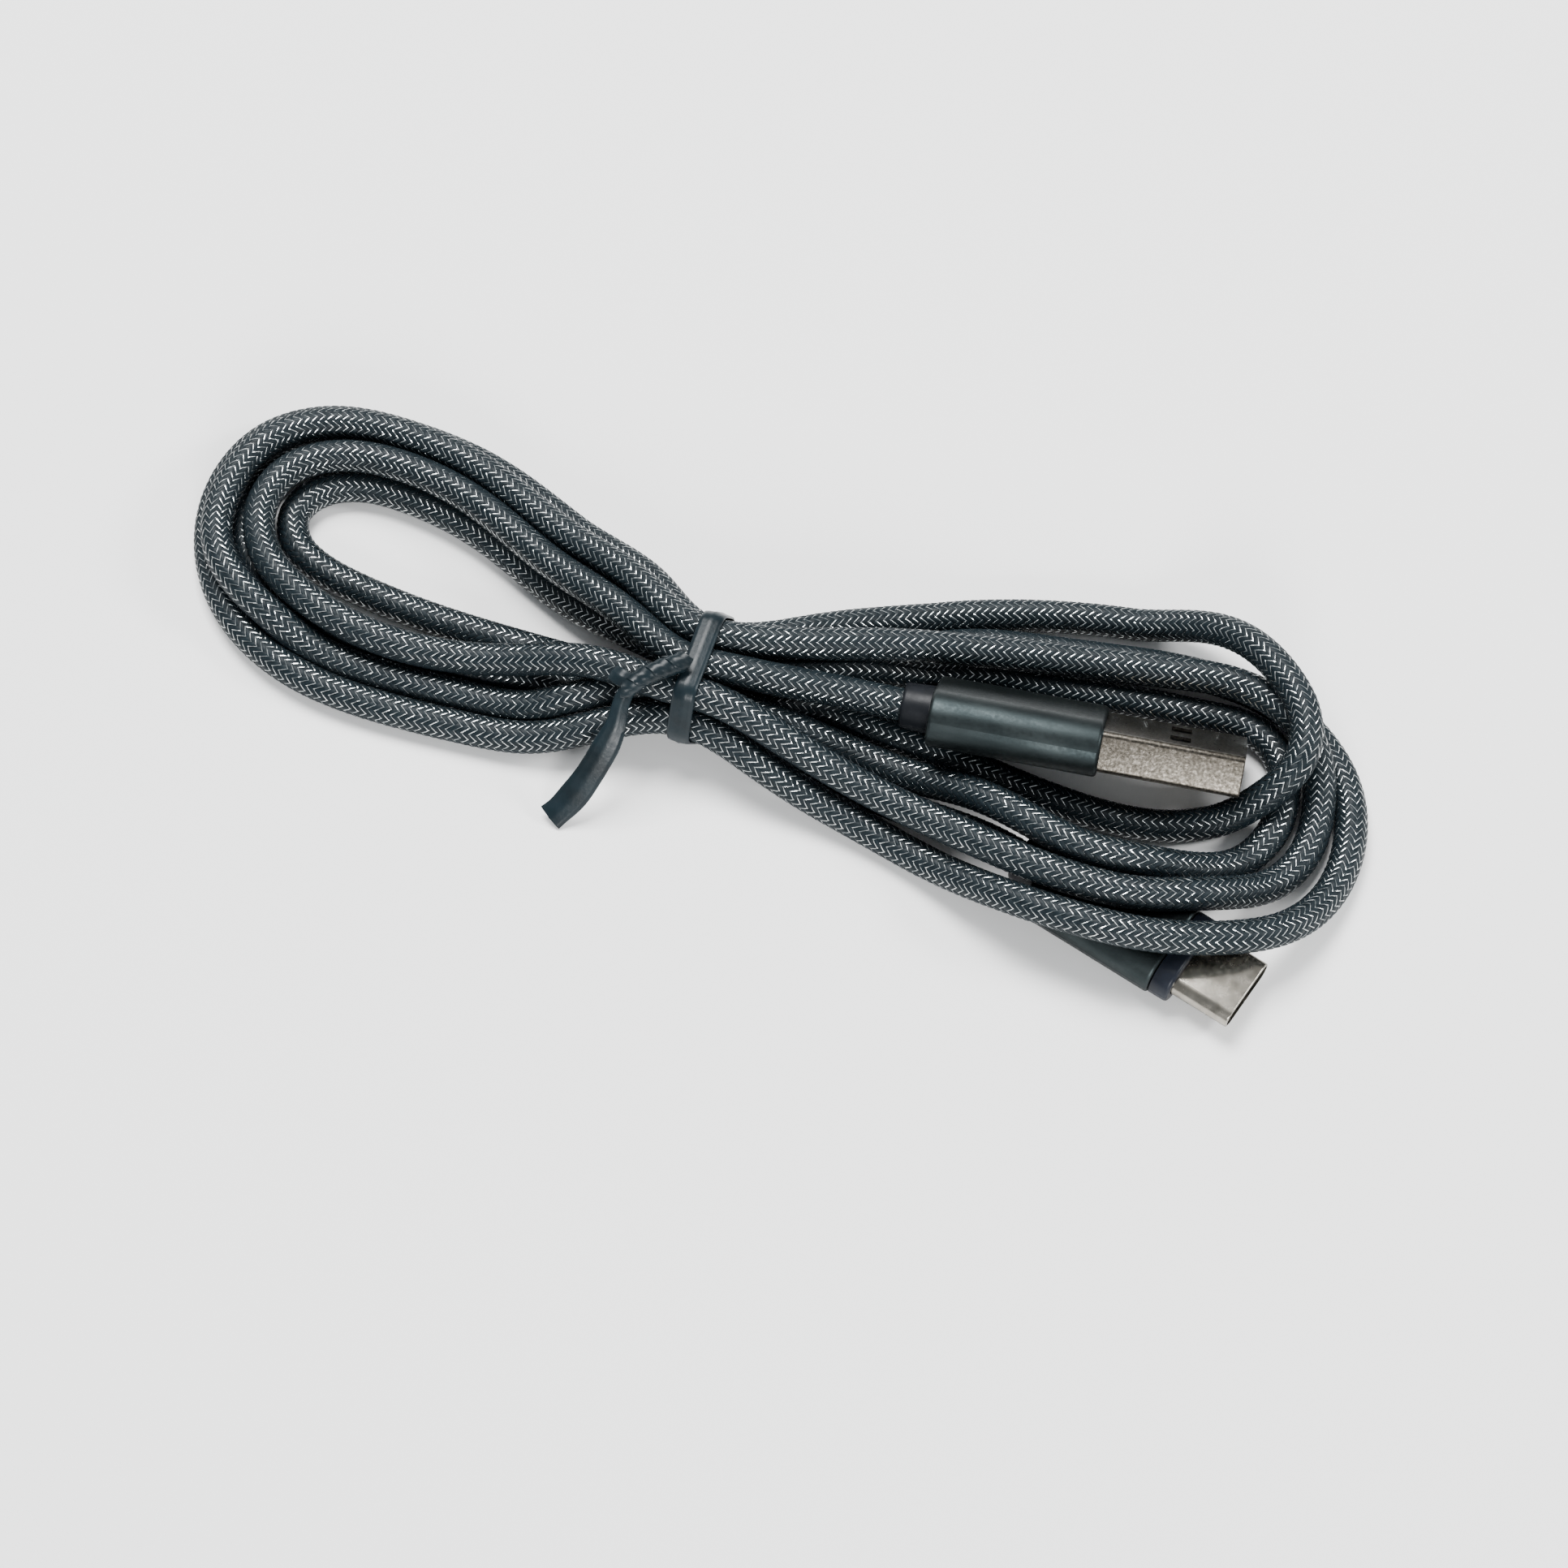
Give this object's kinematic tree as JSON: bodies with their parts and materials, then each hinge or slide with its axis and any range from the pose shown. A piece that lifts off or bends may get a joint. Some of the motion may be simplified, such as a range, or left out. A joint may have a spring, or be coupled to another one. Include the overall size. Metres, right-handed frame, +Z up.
{
  "type": "charging cable",
  "caption": "Braided USB-A to USB-C charging cable wound into a flat long coil, pinched in the middle by a twist tie, with both plugs lying in one lobe.",
  "frame": {"origin": "on the plane the hank lies on, under the middle of its outline", "axes": "+X along the hank's long side, towards the lobe that holds both plugs; +Z up, across the flat hank"},
  "size_m": [0.133, 0.0458, 0.013],
  "materials": {
    "black_silver_braid": "woven black yarn with a silver filament mesh",
    "gunmetal_anodised": "fine satin, anodised dark grey",
    "bright_steel": "nickel-plated, slightly grainy",
    "gold_plating": "plated",
    "black_plastic": "satin",
    "clear_grey_mould": "moulded, hidden",
    "green_board": "lacquered",
    "grey_jacket": "extruded",
    "red_wire": "extruded",
    "green_wire": "extruded",
    "white_wire": "extruded",
    "black_wire": "extruded",
    "black_tie_plastic": "smooth, slightly glossy"
  },
  "bodies": {
    "root": {"cable_braid": "black_silver_braid", "twist_tie_band": "black_tie_plastic", "twist_tie_tail": "black_tie_plastic", "twist_tie_twist": "black_tie_plastic", "usb_a_barrel": "gunmetal_anodised", "usb_a_contact_1": "gold_plating", "usb_a_contact_2": "gold_plating", "usb_a_contact_3": "gold_plating", "usb_a_contact_4": "gold_plating", "usb_a_inner_mould": "clear_grey_mould", "usb_a_jacket_end": "grey_jacket", "usb_a_relief": "black_plastic", "usb_a_shell": "bright_steel", "usb_a_tongue": "black_plastic", "usb_a_wire_dark": "black_wire", "usb_a_wire_green": "green_wire", "usb_a_wire_pale": "white_wire", "usb_a_wire_red": "red_wire", "usb_c_barrel": "gunmetal_anodised", "usb_c_board": "green_board", "usb_c_contact_lower_1": "gold_plating", "usb_c_contact_lower_2": "gold_plating", "usb_c_contact_lower_3": "gold_plating", "usb_c_contact_lower_4": "gold_plating", "usb_c_contact_lower_5": "gold_plating", "usb_c_contact_lower_6": "gold_plating", "usb_c_contact_upper_1": "gold_plating", "usb_c_contact_upper_2": "gold_plating", "usb_c_contact_upper_3": "gold_plating", "usb_c_contact_upper_4": "gold_plating", "usb_c_contact_upper_5": "gold_plating", "usb_c_contact_upper_6": "gold_plating", "usb_c_front_collar": "black_plastic", "usb_c_inner_mould": "clear_grey_mould", "usb_c_insulator": "black_plastic", "usb_c_jacket_end": "grey_jacket", "usb_c_latch_left": "bright_steel", "usb_c_latch_right": "bright_steel", "usb_c_relief": "black_plastic", "usb_c_resistor": "black_wire", "usb_c_shell": "bright_steel", "usb_c_wire_dark": "black_wire", "usb_c_wire_green": "green_wire", "usb_c_wire_pale": "white_wire", "usb_c_wire_red": "red_wire"}
  },
  "joints": []
}
